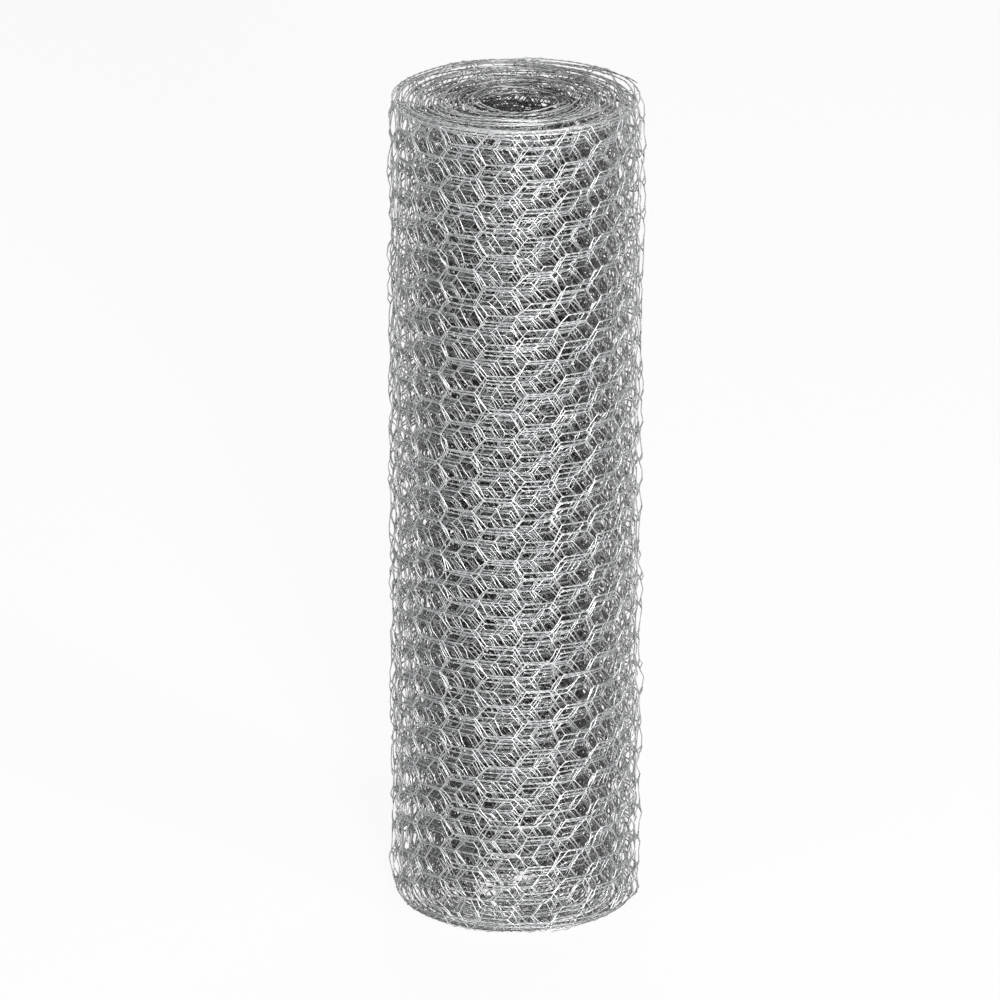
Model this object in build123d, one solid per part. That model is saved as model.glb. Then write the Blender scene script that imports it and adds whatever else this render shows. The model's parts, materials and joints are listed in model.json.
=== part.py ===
from build123d import *
import math
import os

# A roll of hexagonal wire netting, standing on its end. Millimetres, +Z up.
# The origin is the centre of the end that the roll stands on.

# Sizes of the roll
roll_width = 500.0
outer_diameter = 150.0
bore_diameter = 43.0

# One turn of netting, from one layer to the next, where it is wound round the middle
turn_pitch = 1.62

# Both edges of the netting are drawn in by their tighter edge wires
rim_inset = 2.0
top_shoulder_height = 12.0
foot_shoulder_height = 16.0

# The last turns have ridden up, so they stand proud at the top and clear of the floor
raised_turns = 2
outer_rise = 3.0

# Each turn ends in an edge wire, so the ends are ridged, with a groove between two turns
groove_depth = 1.1
edge_land = 0.9

# At the foot the roll's weight presses the edge wires together, so turns share a ridge there
turns_per_foot_ridge = 2

# The inner turns have slid down a little at the top, and every few turns lie lower
top_dish = 2.0
turn_wander = 0.5
turns_per_wave = 5.5

# The free end of the netting is a step down the side, which fades out round the roll
free_end_angle = 12.0
free_end_fade = 66.0

outer_radius = outer_diameter / 2
bore_radius = bore_diameter / 2
rim_radius = outer_radius - rim_inset
turn_count = max(2, round((rim_radius - bore_radius) / turn_pitch))


def edge_drop(turn):
    """How far below the netting's full width the top edge of a turn lies, counted from the bore."""
    share_in = 1 - turn / turn_count
    wave = math.sin(2 * math.pi * turn / turns_per_wave)
    settled = top_dish * share_in**2
    return settled + turn_wander * (1 + wave) * math.sin(math.pi * share_in)


def end_ridges(turns_per_ridge, edge_height, groove_rise):
    """The ridged line across one end, from the bore to the rim, flat on the last crest that isn't raised."""
    ridge_count = max(2, round(turn_count / turns_per_ridge))
    last_low_ridge = ridge_count - max(1, round(raised_turns / turns_per_ridge))
    pitch = (rim_radius - bore_radius) / ridge_count
    half_land = min(edge_land, pitch / 3) / 2

    radii = [bore_radius + ridge * pitch for ridge in range(ridge_count + 1)]
    levels = [edge_height(ridge * turn_count / ridge_count) for ridge in range(ridge_count + 1)]
    for ridge in range(last_low_ridge + 1, ridge_count + 1):
        levels[ridge] += outer_rise

    points = [(radii[0], levels[0])]
    for ridge in range(1, ridge_count + 1):
        groove_level = (levels[ridge - 1] + levels[ridge]) / 2 + groove_rise
        points.append((radii[ridge] - pitch / 2, groove_level))
        if ridge == last_low_ridge:
            points.append((radii[ridge] - half_land, levels[ridge]))
            points.append((radii[ridge] + half_land, levels[ridge]))
        else:
            points.append((radii[ridge], levels[ridge]))
    return points


def wound_netting():
    """The turned solid: both ridged ends, the drawn-in shoulders, the wall and the bore."""
    foot = end_ridges(turns_per_foot_ridge, lambda turn: 0, groove_depth)
    top = end_ridges(1, lambda turn: roll_width - edge_drop(turn), -groove_depth)
    foot_corner = (outer_radius, foot_shoulder_height)
    top_corner = (outer_radius, roll_width - top_shoulder_height)
    outline = Polyline(*foot, foot_corner, top_corner, *reversed(top), foot[0])
    section = Plane.XZ * make_face(outline)
    return revolve(section, axis=Axis.Z)


def free_end_step():
    """What is missing beyond the cut end of the last turn: one layer deep, and fading out."""
    outside = outer_radius + turn_pitch
    step_floor = outer_radius - turn_pitch
    step_foot = Vector(step_floor, 0)
    step_lip = Vector(outside, 0)
    fade_out = Vector(outer_radius, 0).rotate(Axis.Z, -free_end_fade)
    far_out = Vector(outside, 0).rotate(Axis.Z, -free_end_fade)
    outline = Line(step_foot, step_lip) + RadiusArc(step_lip, far_out, outside)
    outline += Line(far_out, fade_out)
    outline += TangentArc(step_foot, fade_out, tangent=(0, -1))
    section = make_face(outline)
    return Rot(0, 0, free_end_angle) * extrude(section, roll_width + outer_rise)


netting_roll = wound_netting() - free_end_step()

os.makedirs("parts", exist_ok=True)
export_step(netting_roll, "parts/netting_roll.step")
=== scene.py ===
from collections import namedtuple
import json
import math

import bpy
import numpy as np
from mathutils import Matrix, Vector


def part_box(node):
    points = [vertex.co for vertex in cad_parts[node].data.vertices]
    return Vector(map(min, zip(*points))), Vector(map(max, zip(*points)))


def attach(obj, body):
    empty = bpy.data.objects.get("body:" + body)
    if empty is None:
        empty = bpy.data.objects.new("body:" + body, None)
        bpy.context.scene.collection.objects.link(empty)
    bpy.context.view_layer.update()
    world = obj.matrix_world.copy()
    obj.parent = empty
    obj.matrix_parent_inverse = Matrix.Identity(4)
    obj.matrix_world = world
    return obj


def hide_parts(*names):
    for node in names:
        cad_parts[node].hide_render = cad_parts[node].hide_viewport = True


bl_info = {
    "name": "Wire Netting Roll",
    "version": (1, 0, 0),
    "blender": (4, 5, 0),
    "location": "View3D > Sidebar > Netting",
    "description": "Winds a roll of twisted hexagonal wire netting and sets it on a plain stage",
    "category": "Add Mesh",
}

# The solid that the wires stand for, and its box before anything is added
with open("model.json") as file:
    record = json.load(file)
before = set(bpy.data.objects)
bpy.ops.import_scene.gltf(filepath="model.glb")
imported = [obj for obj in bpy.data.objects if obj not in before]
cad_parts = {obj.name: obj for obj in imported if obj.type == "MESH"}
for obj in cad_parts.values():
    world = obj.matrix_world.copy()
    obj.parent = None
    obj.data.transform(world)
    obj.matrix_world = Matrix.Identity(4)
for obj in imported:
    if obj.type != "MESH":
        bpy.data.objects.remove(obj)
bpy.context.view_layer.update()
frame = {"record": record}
ROLL_NODE = "netting_roll"
solid_low, solid_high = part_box(ROLL_NODE)
bore = next(m for m in frame["record"]["mounts"] if m["name"] == "winding_bore")

MILLIMETRE = 0.001
MILLIMETRES_IN_METRE = 1000
SOLID_RADIUS = max(solid_high.x, solid_high.y, -solid_low.x, -solid_low.y)
SOLID_HEIGHT = solid_high.z
BORE_RADIUS = bore["dims"]["r_mm"] / MILLIMETRES_IN_METRE

FULL_TURN = 2 * math.pi
FRONT = -math.pi / 2  # the bearing of the side that faces the camera
WHITE = (1, 1, 1, 1)

# The wires and their twists
TWIST_TURNS = 2  # how often two wires go round each other in a twist
PROUD_SHARE = 0.6  # of the wire's thickness, by which the last turn passes the solid
STUB_SHARES = (0.25, 0.9)  # of a slanting run, left beyond the last twist at the free end
STUB_BEND = 2.5 * MILLIMETRE  # how far outward a stub as long as a slanting run would bend
STRAIGHT_STUB = 3  # one stub in so many is left straight

# The edges of the netting
EDGE_REACH = 2.4  # in wire radii, how far a wire hooked round an edge swings to each side of it
FOOT_SPACE = 1.25  # in wire radii, from the lowest swing of such a wire down to the floor
EDGE_WIRE_SHARE = 0.8  # of the other wires' radius, for the wires of the edge pair
EDGE_STEPS = 8  # quarter turns of the edge pair from one column of twists to the next
ROW_FADE = 80 * MILLIMETRE  # from an edge to where the rows lie at their full drop

# Random strays, with their shares of the sizes that a user sets
SEED = 19
ACROSS_SHARE = 0.8  # of the unevenness, across the netting
BOW_SHARES = (0.5, 1.3)  # of the unevenness, for a slanting run across the netting and out of it
FOOT_SHARE = 0.15  # of the edge wander, which the foot strays up
CALM_TURNS, CALM_SHARE = 3, 0.7  # the last turns, whose top edges stray less
TOP_EDGE_SHARE, FOOT_EDGE_SHARE = 0.5, 0.25  # the edge wires are stiffer than the rest
WANDER_MARKS = 5  # how often in a turn its slow strays are drawn
PATCH_WAVES = 7  # how many waves the slow wander from mesh to mesh is made of
PATCH_LENGTHS = (6, 15)  # of these waves, in columns or rows
FULL_CRESTS = 2  # so many crests make the full ripple where they meet

# Where the last turns stand off from round
LOOSE_TURNS = 4  # over so many turns they grow tight
LOOSE_SHARE = 0.6  # of the looseness, for each wave
LOOSE_WAVES = ((3, 9, 0), (5, -14, 2))  # crests round the roll, lean up the roll, shift in a turn
FLARE_LENGTH = 1.6  # of the free end's flare, in radii of the first turn
FLARE_HEIGHT = 22 * MILLIMETRE  # of the same flare, down from the top

# How finely the inner turns are made, with more points in the wires that show at the ends
NEAR_END_WIRES, NEAR_END_STEPS, HIDDEN_STEPS = 4, 6, 2

# The zinc coat, wherever it lies
GREYED_SHARE = 0.4  # of the way to the dull colour, where the coat has greyed
BUMP_STRENGTH = 0.5

# How the photograph's frame shows the roll
FRAME_WIDTH = 1000  # in pixels
PIXELS_PER_METRE = 1693
ROLL_MIDDLE = (515.7, 500.3)  # in pixels, from the left and from the top
MIDDLE_HEIGHT = 0.25  # of that place on the roll's axis, in metres above the floor


class NettingSizes(bpy.types.PropertyGroup):
    """The netting as it lies flat: its wire, its meshes and its edges."""

    wire_diameter: bpy.props.FloatProperty(
        name="Wire Diameter", description="Thickness of the galvanised wire",
        default=0.6 * MILLIMETRE, precision=5, unit="LENGTH",
    )
    width: bpy.props.FloatProperty(
        name="Netting Width", description="From one edge wire to the other",
        default=0.498, precision=4, unit="LENGTH",
    )
    wires: bpy.props.IntProperty(
        name="Wires", description="Wires side by side: two for each mesh across the netting",
        default=53, min=8,
    )
    column_spacing: bpy.props.FloatProperty(
        name="Column Spacing", description="Along the netting, from one column of twists to the next",
        default=23.4 * MILLIMETRE, precision=4, unit="LENGTH",
    )
    twist_length: bpy.props.FloatProperty(
        name="Twist Length", description="Length over which two wires are twisted together",
        default=17 * MILLIMETRE, precision=4, unit="LENGTH",
    )
    unevenness: bpy.props.FloatProperty(
        name="Unevenness", description="How far a twist lies from its even place",
        default=0.6 * MILLIMETRE, precision=5, unit="LENGTH",
    )
    ripple: bpy.props.FloatProperty(
        name="Ripple", description="How far whole patches of meshes lie from their even places",
        default=1.0 * MILLIMETRE, precision=5, unit="LENGTH",
    )


class WindingSizes(bpy.types.PropertyGroup):
    """How the netting is wound into the roll."""

    turn_pitch: bpy.props.FloatProperty(
        name="Turn Pitch", description="From one turn to the next",
        default=1.62 * MILLIMETRE, precision=5, unit="LENGTH",
    )
    free_end_bearing: bpy.props.FloatProperty(
        name="Free End Bearing", description="Where the outer cut end lies, from +X towards +Y",
        default=math.radians(12), subtype="ANGLE",
    )
    rim_inset: bpy.props.FloatProperty(
        name="Rim Inset", description="How far the outer turns are drawn in at their edges",
        default=2.0 * MILLIMETRE, precision=4, unit="LENGTH",
    )
    shoulder_height: bpy.props.FloatProperty(
        name="Shoulder Height", description="Height over which the edges are drawn in",
        default=14 * MILLIMETRE, precision=4, unit="LENGTH",
    )
    foot_rise: bpy.props.FloatProperty(
        name="Foot Rise", description="How far the foot of the last turn has ridden up at the front",
        default=9.3 * MILLIMETRE, precision=4, unit="LENGTH",
    )
    top_rise: bpy.props.FloatProperty(
        name="Top Rise", description="How far the top of the last turn has ridden up at the front",
        default=6.5 * MILLIMETRE, precision=4, unit="LENGTH",
    )
    raised_turns: bpy.props.FloatProperty(
        name="Raised Turns", description="Over how many turns the rise dies away",
        default=3.2, min=1,
    )
    aligned_turns: bpy.props.IntProperty(
        name="Aligned Turns", description="Outer turns whose meshes lie in step at the front",
        default=12, min=0,
    )
    turns_in_step: bpy.props.IntProperty(
        name="Turns in Step", description="Turns in a set, whose meshes lie nearly over each other",
        default=3, min=1,
    )
    set_lag: bpy.props.FloatProperty(
        name="Set Lag", description="How far each set of turns lies to the right of the next set out",
        default=15 * MILLIMETRE, precision=4, unit="LENGTH",
    )
    turn_lag: bpy.props.FloatProperty(
        name="Turn Lag", description="How far each aligned turn lies to the left of the next one out",
        default=1.3 * MILLIMETRE, precision=5, unit="LENGTH",
    )
    row_lag: bpy.props.FloatProperty(
        name="Row Lag", description="How far each turn of a deeper set lies below the next one out",
        default=2.2 * MILLIMETRE, precision=5, unit="LENGTH",
    )
    back_dip: bpy.props.FloatProperty(
        name="Back Dip", description="How far the top of the innermost turn lies lower at the back",
        default=4 * MILLIMETRE, precision=4, unit="LENGTH",
    )
    edge_wander: bpy.props.FloatProperty(
        name="Edge Wander", description="How far the top edges of the turns stray up and down",
        default=1.7 * MILLIMETRE, precision=5, unit="LENGTH",
    )
    row_wander: bpy.props.FloatProperty(
        name="Row Wander", description="How far the meshes of the turns stray up and down at the back",
        default=7 * MILLIMETRE, precision=4, unit="LENGTH",
    )
    gap_wander: bpy.props.FloatProperty(
        name="Gap Wander", description="How far the turns stray in and out",
        default=0.35 * MILLIMETRE, precision=5, unit="LENGTH",
    )
    looseness: bpy.props.FloatProperty(
        name="Looseness", description="How far the last turns stand off from round",
        default=0.3 * MILLIMETRE, precision=5, unit="LENGTH",
    )
    end_flare: bpy.props.FloatProperty(
        name="End Flare", description="How far the top corner of the free end stands off",
        default=1.8 * MILLIMETRE, precision=4, unit="LENGTH",
    )


class ZincLooks(bpy.types.PropertyGroup):
    """The zinc coat of the wires."""

    bright: bpy.props.FloatVectorProperty(
        name="Bright Zinc", description="Colour of the clean coat",
        subtype="COLOR", size=4, min=0, max=1, default=(0.66, 0.665, 0.67, 1),
    )
    dull: bpy.props.FloatVectorProperty(
        name="Dull Zinc", description="Colour where the coat has greyed",
        subtype="COLOR", size=4, min=0, max=1, default=(0.3, 0.305, 0.31, 1),
    )
    # Painted shade: the innermost turns' zinc is coloured darker in place of the shade that the outer turns
    # cast on them
    inner_shade_share: bpy.props.FloatProperty(
        name="Inner Shade Share", description="How pale the zinc of the innermost turns is beside the outer ones",
        default=0.34, min=0, max=1, subtype="FACTOR",
    )
    # Partly duller zinc in the twists and partly painted shade in the crevice between the two twisted wires
    twist_grey_and_shade: bpy.props.FloatProperty(
        name="Twist Grey", description="How much greyer the coat is inside the twists",
        default=0.55, min=0, max=1, subtype="FACTOR",
    )
    roughness: bpy.props.FloatProperty(
        name="Roughness", description="Roughness of the bright coat",
        default=0.43, min=0, max=1, subtype="FACTOR",
    )


class StageLooks(bpy.types.PropertyGroup):
    """The floor, the light and the camera."""

    floor: bpy.props.FloatVectorProperty(
        name="Floor", description="Colour of the floor",
        subtype="COLOR", size=4, min=0, max=1, default=(0.86, 0.86, 0.86, 1),
    )
    sky_strength: bpy.props.FloatProperty(
        name="Sky Strength", description="Soft light from all round",
        default=0.2, min=0,
    )
    key_power: bpy.props.FloatProperty(
        name="Key Power", description="Power by which the soft boxes are set",
        default=470, unit="POWER", min=0,
    )
    camera_distance: bpy.props.FloatProperty(
        name="Camera Distance", description="From the camera to the middle of the roll",
        default=4.9, unit="LENGTH",
    )
    camera_elevation: bpy.props.FloatProperty(
        name="Camera Elevation", description="How far the camera looks down",
        default=math.radians(20.9), subtype="ANGLE",
    )


def front_share(bearing):
    """How near a bearing is to the front: 1 at the front and 0 at the back."""
    return 0.5 + 0.5 * np.cos(bearing - FRONT)


class Netting:
    """The flat netting, and where each point of it lies once it is wound."""

    def __init__(self, sizes, winding):
        self.sizes = sizes
        self.winding = winding
        self.wire_radius = sizes.wire_diameter / 2
        self.half_row = sizes.width / sizes.wires
        self.edge_reach = EDGE_REACH * self.wire_radius
        self.foot = self.edge_reach + FOOT_SPACE * self.wire_radius
        self.pitch = winding.turn_pitch
        self.first_radius = BORE_RADIUS + sizes.wire_diameter
        self.last_radius = SOLID_RADIUS + PROUD_SHARE * sizes.wire_diameter
        self.turns = (self.last_radius - self.first_radius) / self.pitch
        self.turns_to_front = self.turns - (FRONT - winding.free_end_bearing) / FULL_TURN % 1
        self.column_marks, self.length_marks = self.column_places()
        self.front_turns, self.front_drops = self.row_places()
        self.columns = int(self.column_marks[-1])
        self.draw_strays(np.random.default_rng(SEED))

    def draw_strays(self, draw):
        """All that is uneven: the twists, slanting runs and stubs, and the rows and gaps of turns."""
        sizes, winding = self.sizes, self.winding
        places = (self.columns + 1, sizes.wires + 1)
        self.shift_along = draw.normal(0, sizes.unevenness, places) + self.patches(draw, places)
        self.shift_across = draw.normal(0, ACROSS_SHARE * sizes.unevenness, places)
        self.shift_across += self.patches(draw, places)
        self.shift_out = draw.normal(0, sizes.unevenness, places)
        self.bow = draw.normal(0, sizes.unevenness, places + (2,)) * BOW_SHARES
        self.stub = draw.uniform(*STUB_SHARES, sizes.wires + 1)

        marks = WANDER_MARKS * (int(self.turns) + 2)
        self.foot_wander = abs(draw.normal(0, FOOT_SHARE * winding.edge_wander, marks))
        self.gap_wander = draw.normal(0, winding.gap_wander, marks)
        self.row_wander = draw.normal(0, winding.row_wander, marks)
        self.top_wander = draw.normal(0, winding.edge_wander, marks)
        self.top_wander[-CALM_TURNS * WANDER_MARKS :] *= CALM_SHARE

        self.shift_across[:, -1] *= TOP_EDGE_SHARE
        # The foot strays upward only, so that no wire sinks into the floor
        self.shift_across[:, 0] = FOOT_EDGE_SHARE * abs(self.shift_across[:, 0])

    def patches(self, draw, places):
        """A slow wander from mesh to mesh, as the sum of a few waves that cross the netting."""
        column, row = np.indices(places)
        total = 0
        for _ in range(PATCH_WAVES):
            angle, start = draw.uniform(0, FULL_TURN, 2)
            step = FULL_TURN / draw.uniform(*PATCH_LENGTHS)
            total = total + np.sin(step * (column * math.cos(angle) + row * math.sin(angle)) + start)
        return self.sizes.ripple * total / FULL_CRESTS

    def column_places(self):
        """Marks that tell how many columns there are up to some lengths of netting."""
        winding, spacing = self.winding, self.sizes.column_spacing
        depths = np.arange(winding.aligned_turns, -1, -1)
        lengths = self.length_at(self.turns_to_front - depths)
        columns = [lengths[0] / spacing]
        for depth, length in zip(depths, np.diff(lengths)):
            # A whole number of meshes and a short lag go into each aligned turn
            lag = winding.turn_lag
            if depth % winding.turns_in_step == 0:
                lag -= winding.set_lag
            meshes = round((length - lag) / (2 * spacing))
            columns.append(columns[-1] + 2 * meshes + lag / spacing)
        last_length = self.length_at(self.turns)
        last_column = columns[-1] + (last_length - lengths[-1]) / spacing
        return [0, *columns, last_column], [0, *lengths, last_length]

    def row_places(self):
        """How low the meshes lie at the front of each aligned turn, below the outermost set."""
        winding = self.winding
        depths = np.arange(winding.aligned_turns, -1, -1)
        in_set = depths % winding.turns_in_step - winding.turns_in_step / 2
        drops = np.where(depths < winding.turns_in_step, 0, winding.row_lag * in_set)
        return self.turns_to_front - depths, drops

    def column_along(self, column):
        """The place along the netting of a column of twists, or of a point between two."""
        return np.interp(column, self.column_marks, self.length_marks)

    def column_at(self, turn):
        """The number of whole columns wound up after so many turns."""
        return int(np.interp(self.length_at(turn), self.length_marks, self.column_marks))

    def columns_between(self, first_turn, last_turn):
        """The columns of twists between two turns of the roll."""
        return range(self.column_at(first_turn), self.column_at(last_turn))

    def length_at(self, turn):
        """The length of netting wound up after so many turns."""
        return FULL_TURN * self.first_radius * turn + math.pi * self.pitch * turn**2

    def turn_at(self, along):
        """The number of turns wound up to a place along the netting."""
        root = np.sqrt(self.first_radius**2 + self.pitch * np.maximum(along, 0) / math.pi)
        return (root - self.first_radius) / self.pitch

    def wander(self, turn, strays):
        """A distance that changes slowly along the turns, from one of these drawn ones to the next."""
        return np.interp(turn, np.arange(len(strays)) / WANDER_MARKS, strays)

    def level(self, turn, bearing, share_up):
        """How far a place on a turn has slid up; the share is 0 at the foot and 1 at the top."""
        winding = self.winding
        ridden = (1 - (self.turns - turn) / winding.raised_turns).clip(0)
        towards_front = front_share(bearing)
        foot_rise = winding.foot_rise * towards_front**2
        rise = foot_rise + share_up * (winding.top_rise * towards_front - foot_rise)
        foot = self.wander(turn, self.foot_wander)
        dip = winding.back_dip * (1 - turn / self.turns) * (1 - towards_front)
        top = self.wander(turn, self.top_wander) - dip
        return rise * ridden + foot + share_up * (top - foot)

    def row_drop(self, turn, bearing):
        """How far the meshes of a turn lie lower: in sets at the front, and at random at the back."""
        in_step = np.interp(turn, self.front_turns, self.front_drops)
        return in_step + self.wander(turn, self.row_wander) * (1 - front_share(bearing))

    def off_round(self, turn, bearing, across):
        """How far the last turns stand in or out in slow waves that lean round the roll."""
        loose = self.winding.looseness * np.exp(-(self.turns - turn) / LOOSE_TURNS)
        wave = 0
        for crests, lean, shift in LOOSE_WAVES:
            wave = wave + np.sin(crests * bearing + lean * across / self.sizes.width + shift * turn)
        return LOOSE_SHARE * loose * wave

    def flare(self, along, across):
        """How far the top corner of the free end stands off."""
        to_end = (self.length_at(self.turns) - along) / self.first_radius
        from_top = self.sizes.width - across
        near_end = np.exp(-((to_end / FLARE_LENGTH) ** 2)) * np.exp(-from_top / FLARE_HEIGHT)
        return self.winding.end_flare * near_end

    def place(self, along, across, out):
        """Points in the roll, from their places along and across the netting and out of it."""
        winding, width = self.winding, self.sizes.width
        turn = self.turn_at(along)
        bearing = winding.free_end_bearing + FULL_TURN * (self.turns - turn)
        from_edge = np.minimum(across, width - across).clip(0)

        radius = self.first_radius + self.pitch * turn
        outer_share = (radius - BORE_RADIUS) / (SOLID_RADIUS - BORE_RADIUS)
        shoulder = (1 - from_edge / winding.shoulder_height).clip(0, 1)
        radius = radius - winding.rim_inset * outer_share * shoulder**2
        radius = radius + self.off_round(turn, bearing, across) + self.wander(turn, self.gap_wander)
        radius = radius + self.flare(along, across) + out

        height = self.foot + across + self.level(turn, bearing, (across / width).clip(0, 1))
        height = height - self.row_drop(turn, bearing) * (from_edge / ROW_FADE).clip(0, 1)
        return np.stack([radius * np.cos(bearing), radius * np.sin(bearing), height], -1)

    def wire_paths(self, columns, wires, twist_steps, slant_steps):
        """The path of each of these wires through these columns, one row of points for each wire."""
        sizes = self.sizes
        column = np.arange(columns.start, columns.stop + 1)[:, None]
        wire = np.asarray(wires)[None, :]

        # A wire is twisted with the one above it and the one below it in turn, or round an edge
        joins_above = (wire + column) % 2 == 0
        row = wire + joins_above
        side = np.where(joins_above, -1, 1)
        at_edge = (row == 0) | (row == sizes.wires)
        reach = np.where(at_edge, self.edge_reach, self.wire_radius)

        step = np.linspace(0, 1, twist_steps + 1)[:, None, None]
        spin = FULL_TURN * TWIST_TURNS * step
        along = self.column_along(column + 0.5) + self.shift_along[column, row]
        along = along + sizes.twist_length * (step - 0.5)
        across = row * self.half_row + self.shift_across[column, row] + side * reach * np.cos(spin)
        out = self.shift_out[column, row] + side * reach * np.sin(spin)
        twist = np.stack([along, across, out])

        # Between two twists the wire slants up or down, slightly bowed
        leave, arrive = twist[:, -1, :-1], twist[:, 0, 1:]
        share = np.arange(1, slant_steps)[:, None, None] / slant_steps
        slant = leave[:, None] + share * (arrive - leave)[:, None]
        bow = self.bow[column[:-1], row[:-1]]
        slant[1:] += np.sin(math.pi * share) * np.moveaxis(bow, -1, 0)[:, None]

        run = np.concatenate([twist[:, :, :-1], slant], axis=1)
        run = run.transpose(3, 2, 1, 0).reshape(len(wires), -1, 3)
        last = arrive[:, -1]
        if columns.stop == self.columns:
            last = self.stub_tips(leave[:, -1], last, wires)
        to_last_twist = run.shape[1] - (slant_steps - 1)
        path = np.concatenate([run[:, :to_last_twist], last.T[:, None]], axis=1)
        return self.place(*np.moveaxis(path, -1, 0))

    def stub_tips(self, leave, arrive, wires):
        """The tips of the stubs beyond the last twists, where the netting was cut off."""
        wire = np.asarray(wires)
        stub = self.stub[wire]
        tip = leave + stub * (arrive - leave)
        tip[2] += STUB_BEND * stub * (wire % STRAIGHT_STUB != 0)
        return tip

    def edge_paths(self, at_top):
        """The pair of twisted wires that runs along one edge of the netting."""
        row = self.sizes.wires if at_top else 0
        step = np.arange(self.columns * EDGE_STEPS + 1)
        column = step / EDGE_STEPS
        twists = np.arange(self.columns + 1) + 0.5
        spin = math.pi / 2 * step + np.array([[0], [math.pi]])
        across = row * self.half_row + np.interp(column, twists, self.shift_across[:, row])
        across = across + self.wire_radius * np.cos(spin)
        out = self.wire_radius * np.sin(spin) + np.interp(column, twists, self.shift_out[:, row])
        along = np.broadcast_to(self.column_along(column), across.shape)
        return self.place(along, across, out)


def twisted_mask(length, twist_steps, slant_steps):
    """For each point of a wire's path, 1 inside a twist and 0 on the slanting runs."""
    one_column = [0] + [1] * (twist_steps - 1) + [0] * slant_steps
    return np.resize(one_column, length)


def tube_mesh(paths, wire_radius, sides, twisted=0):
    """Round wires along these paths: points, faces of sides and ends, flat map and twisted mask."""
    count, length, _ = paths.shape
    ahead = np.diff(paths, axis=1)
    ahead /= np.linalg.norm(ahead, axis=2, keepdims=True)
    tangent = np.concatenate([ahead[:, :1], ahead[:, :-1] + ahead[:, 1:], ahead[:, -1:]], axis=1)
    tangent /= np.linalg.norm(tangent, axis=2, keepdims=True)
    outward = paths * [1, 1, 0]
    across = np.cross(tangent, outward)
    across /= np.linalg.norm(across, axis=2, keepdims=True)
    outward = np.cross(across, tangent)

    # The corners stand out a little, so that the faceted wire looks as wide as a round one
    corner = wire_radius * math.pi / (sides * math.sin(math.pi / sides))
    angle = FULL_TURN * np.arange(sides) / sides
    ring = np.cos(angle)[:, None] * outward[:, :, None] + np.sin(angle)[:, None] * across[:, :, None]
    points = (paths[:, :, None] + corner * ring).reshape(-1, 3)

    number = np.arange(count * length * sides).reshape(count, length, sides)
    turned = np.roll(number, -1, axis=2)
    quads = np.stack([number[:, :-1], turned[:, :-1], turned[:, 1:], number[:, 1:]], -1)
    caps = np.concatenate([number[:, 0, ::-1], number[:, -1]])
    mask = np.broadcast_to(np.reshape(twisted, (1, -1, 1)), (count, length, sides))
    return points, quads, caps, tube_map(count, length, sides), mask.ravel()


def tube_map(count, length, sides):
    """A place on the flat map for each corner of the wires' faces: one strip for each wire."""
    along_to_across = 4  # faces along the map for each one across, once long strips are folded
    side_share = 0.9  # of a row, which the faces along the wire take up
    cap_start, cap_share = 0.92, 0.06  # of a row, which the faces at its ends take up

    folds = max(1, round(math.sqrt(length / (count * sides * along_to_across))))
    strip = math.ceil((length - 1) / folds)
    rows = count * folds
    segment = np.arange(length - 1)
    row = np.arange(count)[:, None] * folds + segment // strip
    left = np.broadcast_to((segment % strip) / strip, row.shape)[..., None]
    right = left + 1 / strip
    low = row[..., None] + side_share * np.arange(sides) / sides
    high = low + side_share / sides
    u = np.stack(np.broadcast_arrays(left, left, right, right), -1)
    u = np.broadcast_to(u, low.shape + (4,))
    v = np.stack([low, high, high, low], -1) / rows
    quads = np.stack([u, v], -1)

    corner = np.arange(sides)
    end_row = (np.arange(2 * count) % count * folds)[:, None]
    cap_v = end_row + cap_start + cap_share * (corner % 2)
    cap_u = np.broadcast_to(corner / sides / strip, cap_v.shape)
    return quads, np.stack([cap_u, cap_v / rows], -1)


def wire_piece(name, bundles, material):
    """One piece of the roll: several bundles of wires in one mesh, which rides with the solid."""
    points, faces, corners, maps, masks = [], [], [], [], []
    start = 0
    for made, quads, caps, (quad_map, cap_map), mask in bundles:
        sides = caps.shape[-1]
        points.append(made)
        masks.append(mask)
        for shape, uv in ((quads.reshape(-1, 4), quad_map), (caps.reshape(-1, sides), cap_map)):
            faces.append(np.full(len(shape), shape.shape[1]))
            corners.append(shape.ravel() + start)
            maps.append(uv.reshape(-1, 2))
        start += len(made)
    points, faces = np.concatenate(points), np.concatenate(faces)
    corners, maps = np.concatenate(corners), np.concatenate(maps)

    mesh = bpy.data.meshes.new(name)
    mesh.vertices.add(len(points))
    mesh.vertices.foreach_set("co", points.astype(np.float32).ravel())
    mesh.loops.add(len(corners))
    mesh.loops.foreach_set("vertex_index", corners.astype(np.int32))
    mesh.polygons.add(len(faces))
    mesh.polygons.foreach_set("loop_start", (np.cumsum(faces) - faces).astype(np.int32))
    layer = mesh.uv_layers.new(name="OFBake")
    layer.uv.foreach_set("vector", maps.astype(np.float32).ravel())
    twisted = mesh.attributes.new(name="twisted", type="FLOAT", domain="POINT")
    twisted.data.foreach_set("value", np.concatenate(masks).astype(np.float32))
    mesh.update(calc_edges=True)
    if mesh.validate():
        raise RuntimeError(f"the wires of {name} make bad faces")
    mesh.shade_smooth()
    mesh.materials.append(material)

    piece = bpy.data.objects.new(name, mesh)
    bpy.context.collection.objects.link(piece)
    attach(piece, "root")
    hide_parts(ROLL_NODE)
    return piece


def socket(group, name, kind, way, default=None):
    """Adds a named input or output to a node group."""
    made = group.interface.new_socket(name=name, in_out=way, socket_type=f"NodeSocket{kind}")
    if default is not None:
        made.default_value = default


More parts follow.
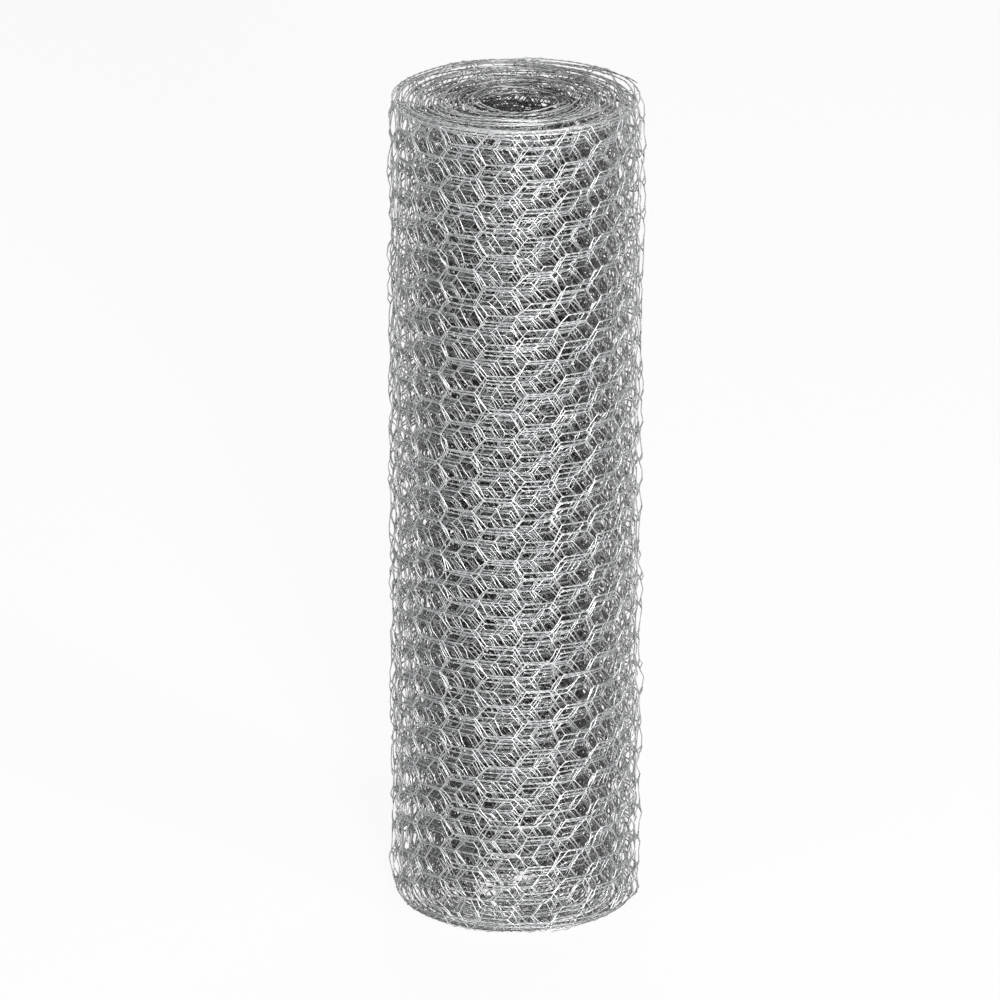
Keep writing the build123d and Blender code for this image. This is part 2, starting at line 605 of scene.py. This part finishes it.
def zinc_coat_group():
    """The zinc coat: crystals, greyed stretches, painted shade in the twists and small dents, as values and
    colours.
    """
    name = "zinc_coat"
    if name in bpy.data.node_groups:
        return bpy.data.node_groups[name]
    group = bpy.data.node_groups.new(name, "ShaderNodeTree")
    socket(group, "Bright", "Color", "INPUT", (0.8, 0.8, 0.8, 1))
    socket(group, "Dull", "Color", "INPUT", (0.4, 0.4, 0.4, 1))
    socket(group, "Crystal Size", "Float", "INPUT", 1.5)
    socket(group, "Greyed Share", "Float", "INPUT", 0.4)
    socket(group, "Twist Grey", "Float", "INPUT", 0.5)
    socket(group, "Roughness", "Float", "INPUT", 0.4)
    socket(group, "Colour", "Color", "OUTPUT")
    socket(group, "Roughness", "Float", "OUTPUT")
    socket(group, "Height", "Float", "OUTPUT")
    nodes, links = group.nodes, group.links
    given, made = nodes.new("NodeGroupInput"), nodes.new("NodeGroupOutput")
    where = nodes.new("ShaderNodeTexCoord").outputs["Object"]

    crystal_grey = 0.28  # how much greyer one crystal can be than another
    crystal_gloss = -0.12  # how much less rough one crystal can be than another
    crystal_height = 0.4  # how high a crystal can stand beside the dents
    greyed_roughness = 0.3  # how much rougher the greyed zinc is
    greyed_from, greyed_to = 0.38, 0.66  # the noise at which the zinc starts to grey and is greyest

    def maths(operation, *values):
        node = nodes.new("ShaderNodeMath")
        node.operation = operation
        for place, value in enumerate(values):
            if isinstance(value, bpy.types.NodeSocket):
                links.new(value, node.inputs[place])
            else:
                node.inputs[place].default_value = value
        return node.outputs[0]

    def texture(kind, **settings):
        node = nodes.new(f"ShaderNodeTex{kind}")
        links.new(where, node.inputs["Vector"])
        for name, value in settings.items():
            node.inputs[name].default_value = value
        return node

    crystals = texture("Voronoi")
    crystals_per_metre = maths("DIVIDE", MILLIMETRES_IN_METRE, given.outputs["Crystal Size"])
    links.new(crystals_per_metre, crystals.inputs["Scale"])
    crystal = nodes.new("ShaderNodeSeparateColor")
    links.new(crystals.outputs["Color"], crystal.inputs[0])

    greyed = texture("Noise", Scale=55, Detail=6, Roughness=0.6)
    spread = nodes.new("ShaderNodeMapRange")
    links.new(greyed.outputs["Fac"], spread.inputs["Value"])
    spread.inputs["From Min"].default_value = greyed_from
    spread.inputs["From Max"].default_value = greyed_to
    twisted = nodes.new("ShaderNodeAttribute")
    twisted.attribute_name = "twisted"
    share = maths("MULTIPLY", spread.outputs["Result"], given.outputs["Greyed Share"])
    share = maths("MULTIPLY_ADD", crystal.outputs[0], crystal_grey, share)
    # Greyer in the twists: partly duller zinc, partly painted shade in the crevice between the two wires
    share = maths("MULTIPLY_ADD", twisted.outputs["Fac"], given.outputs["Twist Grey"], share)
    share = maths("MINIMUM", share, 1)

    colour = nodes.new("ShaderNodeMix")
    colour.data_type = "RGBA"
    links.new(share, colour.inputs["Factor"])
    links.new(given.outputs["Bright"], colour.inputs["A"])
    links.new(given.outputs["Dull"], colour.inputs["B"])
    links.new(colour.outputs["Result"], made.inputs["Colour"])

    rough = maths("MULTIPLY_ADD", share, greyed_roughness, given.outputs["Roughness"])
    rough = maths("MULTIPLY_ADD", crystal.outputs[1], crystal_gloss, rough)
    links.new(rough, made.inputs["Roughness"])

    dents = texture("Noise", Scale=2600, Detail=3)
    height = maths("MULTIPLY_ADD", crystal.outputs[2], crystal_height, dents.outputs["Fac"])
    links.new(height, made.inputs["Height"])
    return group


def zinc_material(name, crystal_size, bump_depth, pale):
    """Galvanised wire, with its own size of crystals in millimetres, bump depth and paleness, which for the
    deeper turns of netting is painted shade.
    """
    if name in bpy.data.materials:
        return bpy.data.materials[name]
    looks = bpy.context.scene.zinc_looks
    material = bpy.data.materials.new(name)
    material.use_nodes = True
    nodes, links = material.node_tree.nodes, material.node_tree.links
    shader = nodes["Principled BSDF"]
    shader.inputs["Metallic"].default_value = 1
    coat = nodes.new("ShaderNodeGroup")
    coat.node_tree = zinc_coat_group()
    coat.inputs["Bright"].default_value = [pale * part for part in looks.bright[:3]] + [1]
    coat.inputs["Dull"].default_value = [pale * part for part in looks.dull[:3]] + [1]
    coat.inputs["Crystal Size"].default_value = crystal_size
    coat.inputs["Greyed Share"].default_value = GREYED_SHARE
    coat.inputs["Twist Grey"].default_value = looks.twist_grey_and_shade
    coat.inputs["Roughness"].default_value = looks.roughness
    bump = nodes.new("ShaderNodeBump")
    bump.inputs["Distance"].default_value = bump_depth
    bump.inputs["Strength"].default_value = BUMP_STRENGTH
    links.new(coat.outputs["Height"], bump.inputs["Height"])
    links.new(bump.outputs["Normal"], shader.inputs["Normal"])
    links.new(coat.outputs["Colour"], shader.inputs["Base Color"])
    links.new(coat.outputs["Roughness"], shader.inputs["Roughness"])
    return material


def netting_material(name, depth):
    """Zinc that is less pale the deeper its turns lie, from 0 at the outside to 1 at the bore: painted
    shade for the light that the outer turns keep off.
    """
    # Painted shade: the deeper the turns, the darker their zinc colour
    pale = 1 - depth * (1 - bpy.context.scene.zinc_looks.inner_shade_share)
    return zinc_material(f"galvanised_{name}", crystal_size=1.4, bump_depth=0.04 * MILLIMETRE, pale=pale)


def edge_material():
    """Zinc of the edge wires, with larger crystals and slightly less pale."""
    return zinc_material("galvanised_edge_wire", crystal_size=2.2, bump_depth=0.05 * MILLIMETRE, pale=0.8)


def current_netting():
    """The netting of the sizes that the scene holds now."""
    scene = bpy.context.scene
    return Netting(scene.netting_sizes, scene.winding_sizes)


# Turns that make one piece: how many, how deep they lie from 0 to 1, which sets their painted shade, and
# how finely they are made
TurnGroup = namedtuple("TurnGroup", "name turns depth sides twist_steps slant_steps")
OUTER_GROUPS = (
    TurnGroup("outermost_turns", turns=2, depth=0, sides=4, twist_steps=8, slant_steps=2),
    TurnGroup("second_turns", turns=2, depth=0, sides=4, twist_steps=8, slant_steps=2),
    TurnGroup("third_turns", turns=3, depth=0.04, sides=3, twist_steps=8, slant_steps=2),
    TurnGroup("fourth_turns", turns=3, depth=0.12, sides=3, twist_steps=6, slant_steps=1),
)


class NETTING_OT_outer_turns(bpy.types.Operator):
    """Wind the outer turns, whose wires show from the side"""

    bl_idname = "netting.outer_turns"
    bl_label = "Wind Outer Turns"

    def execute(self, context):
        netting = current_netting()
        outside = netting.turns
        wires = range(netting.sizes.wires)
        for group in OUTER_GROUPS:
            columns = netting.columns_between(outside - group.turns, outside)
            paths = netting.wire_paths(columns, wires, group.twist_steps, group.slant_steps)
            twisted = twisted_mask(paths.shape[1], group.twist_steps, group.slant_steps)
            bundle = tube_mesh(paths, netting.wire_radius, group.sides, twisted)
            wire_piece(group.name, [bundle], netting_material(group.name, group.depth))
            outside -= group.turns
        return {"FINISHED"}


class NETTING_OT_inner_turns(bpy.types.Operator):
    """Wind the inner turns, which show at both ends of the roll and through the outer meshes"""

    bl_idname = "netting.inner_turns"
    bl_label = "Wind Inner Turns"

    def execute(self, context):
        netting = current_netting()
        inside = netting.turns - sum(group.turns for group in OUTER_GROUPS)
        count = netting.sizes.wires
        near_ends = [k for k in range(count) if min(k, count - 1 - k) < NEAR_END_WIRES]
        hidden = [k for k in range(count) if k not in near_ends]
        # The depths darken these turns' zinc colour as painted shade
        for name, depth, first, last in (
            ("middle_turns", 0.5, inside / 2, inside),
            ("inner_turns", 1, 0, inside / 2),
        ):
            columns = netting.columns_between(first, last)
            bundles = []
            for wires, twist_steps in ((near_ends, NEAR_END_STEPS), (hidden, HIDDEN_STEPS)):
                paths = netting.wire_paths(columns, wires, twist_steps, slant_steps=1)
                twisted = twisted_mask(paths.shape[1], twist_steps, slant_steps=1)
                bundles.append(tube_mesh(paths, netting.wire_radius, sides=3, twisted=twisted))
            wire_piece(name, bundles, netting_material(name, depth))
        return {"FINISHED"}


class NETTING_OT_edges(bpy.types.Operator):
    """Lay the twisted pair of wires along both edges of the netting"""

    bl_idname = "netting.edges"
    bl_label = "Lay Edge Wires"

    def execute(self, context):
        netting = current_netting()
        wire_radius = EDGE_WIRE_SHARE * netting.wire_radius
        for name, at_top in (("foot_edge_wires", False), ("top_edge_wires", True)):
            bundle = tube_mesh(netting.edge_paths(at_top), wire_radius, sides=3)
            wire_piece(name, [bundle], edge_material())
        return {"FINISHED"}


def shown_white(material_or_world, shader_socket, share):
    """Mixes a share of plain white over a shader, for camera, glossy and transmitted rays alone."""
    nodes, links = material_or_world.node_tree.nodes, material_or_world.node_tree.links
    ray = nodes.new("ShaderNodeLightPath")
    seen = ray.outputs["Is Camera Ray"]
    for kind in ("Is Glossy Ray", "Is Transmission Ray"):
        either = nodes.new("ShaderNodeMath")
        either.operation = "MAXIMUM"
        links.new(seen, either.inputs[0])
        links.new(ray.outputs[kind], either.inputs[1])
        seen = either.outputs[0]
    part = nodes.new("ShaderNodeMath")
    part.operation = "MULTIPLY"
    part.inputs[1].default_value = share
    links.new(seen, part.inputs[0])
    mix = nodes.new("ShaderNodeMixShader")
    links.new(part.outputs[0], mix.inputs["Fac"])
    links.new(shader_socket, mix.inputs[1])
    on_surface = isinstance(material_or_world, bpy.types.Material)
    glow = nodes.new("ShaderNodeEmission" if on_surface else "ShaderNodeBackground")
    glow.inputs["Strength"].default_value = 1
    glow.inputs["Color"].default_value = WHITE
    links.new(glow.outputs[0], mix.inputs[2])
    return mix.outputs[0]


class NETTING_OT_stage(bpy.types.Operator):
    """Set up the pale floor, the soft light and the camera"""

    bl_idname = "netting.stage"
    bl_label = "Set Stage"

    def execute(self, context):
        scene = context.scene
        looks = scene.stage_looks
        self.floor(looks)
        self.sky(scene, looks)
        self.lamps(looks)
        self.camera(scene, looks)
        scene.view_settings.view_transform = "Standard"
        return {"FINISHED"}

    def floor(self, looks):
        """A wide pale floor, which is nearly white to the camera and still takes the shadow."""
        reach = 12  # from the middle of the floor to its sides
        roughness = 0.9
        white_share = 0.9
        mesh = bpy.data.meshes.new("floor")
        corners = [(-reach, -reach, 0), (reach, -reach, 0), (reach, reach, 0), (-reach, reach, 0)]
        mesh.from_pydata(corners, [], [(0, 1, 2, 3)])
        material = bpy.data.materials.new("pale_floor")
        material.use_nodes = True
        nodes, links = material.node_tree.nodes, material.node_tree.links
        shader = nodes["Principled BSDF"]
        shader.inputs["Base Color"].default_value = looks.floor
        shader.inputs["Roughness"].default_value = roughness
        seen = shown_white(material, shader.outputs[0], share=white_share)
        links.new(seen, nodes["Material Output"].inputs["Surface"])
        mesh.materials.append(material)
        floor = bpy.data.objects.new("floor", mesh)
        bpy.context.collection.objects.link(floor)

    def sky(self, scene, looks):
        """A weak white light from all round, which is plain white to the camera."""
        world = bpy.data.worlds.new("soft_sky")
        world.use_nodes = True
        nodes, links = world.node_tree.nodes, world.node_tree.links
        soft = nodes["Background"]
        soft.inputs["Color"].default_value = WHITE
        soft.inputs["Strength"].default_value = looks.sky_strength
        seen = shown_white(world, soft.outputs[0], share=1)
        links.new(seen, nodes["World Output"].inputs["Surface"])
        scene.world = world

    def lamps(self, looks):
        """Round soft boxes that face the middle of the roll, each with its share of the power."""
        aim = Vector((0, 0, 0.5 * SOLID_HEIGHT))
        for name, place, size, share in (
            ("left_box", (-3.0, -3.1, 1.0), 0.9, 0.14),
            ("right_box", (3.2, -2.9, 1.1), 0.9, 0.3),
            ("front_box", (0.7, -4.2, 1.0), 0.9, 0.56),
            ("top_box", (0.2, 1.2, 2.4), 1.2, 0.04),
        ):
            lamp = bpy.data.lights.new(name, "AREA")
            lamp.shape = "DISK"
            lamp.size = size
            lamp.energy = looks.key_power * share
            made = bpy.data.objects.new(name, lamp)
            made.location = place
            made.rotation_euler = (aim - made.location).to_track_quat("-Z", "Y").to_euler()
            bpy.context.collection.objects.link(made)

    def camera(self, scene, looks):
        """A camera in front of the roll, which looks down on it as the photograph does."""
        elevation = looks.camera_elevation
        back = Vector((0, -math.cos(elevation), math.sin(elevation)))
        up = Vector((0, math.sin(elevation), math.cos(elevation)))
        right_of_centre, below_centre = (pixel - FRAME_WIDTH / 2 for pixel in ROLL_MIDDLE)
        aim = Vector((0, 0, MIDDLE_HEIGHT))
        aim.x -= right_of_centre / PIXELS_PER_METRE
        aim += up * below_centre / PIXELS_PER_METRE

        lens = bpy.data.cameras.new("camera")
        lens.sensor_width = 36
        lens.lens = PIXELS_PER_METRE * looks.camera_distance * lens.sensor_width / FRAME_WIDTH
        lens.clip_end = 60
        camera = bpy.data.objects.new("camera", lens)
        camera.location = aim + back * looks.camera_distance
        camera.rotation_euler = (-back).to_track_quat("-Z", "Y").to_euler()
        bpy.context.collection.objects.link(camera)
        scene.camera = camera


class NETTING_PT_roll(bpy.types.Panel):
    """Lists the pieces of the roll and the sizes and colours that make them"""

    bl_idname = "NETTING_PT_roll"
    bl_label = "Wire Netting Roll"
    bl_space_type = "VIEW_3D"
    bl_region_type = "UI"
    bl_category = "Netting"

    def draw(self, context):
        for group in SETTINGS:
            box = self.layout.box()
            settings = getattr(context.scene, group)
            for name in settings.bl_rna.properties.keys():
                if name not in ("rna_type", "name"):
                    box.prop(settings, name)
        for operator in OPERATORS:
            self.layout.operator(operator.bl_idname)


OPERATORS = (NETTING_OT_stage, NETTING_OT_outer_turns, NETTING_OT_inner_turns, NETTING_OT_edges)
SETTINGS = {
    "netting_sizes": NettingSizes,
    "winding_sizes": WindingSizes,
    "zinc_looks": ZincLooks,
    "stage_looks": StageLooks,
}


def register():
    for made in (*SETTINGS.values(), *OPERATORS, NETTING_PT_roll):
        bpy.utils.register_class(made)
    for name, made in SETTINGS.items():
        setattr(bpy.types.Scene, name, bpy.props.PointerProperty(type=made))


def unregister():
    for name in SETTINGS:
        delattr(bpy.types.Scene, name)
    for made in reversed((*SETTINGS.values(), *OPERATORS, NETTING_PT_roll)):
        bpy.utils.unregister_class(made)


def main():
    register()
    bpy.ops.netting.stage()
    bpy.ops.netting.outer_turns()
    bpy.ops.netting.inner_turns()
    bpy.ops.netting.edges()


if __name__ == "__main__":
    main()
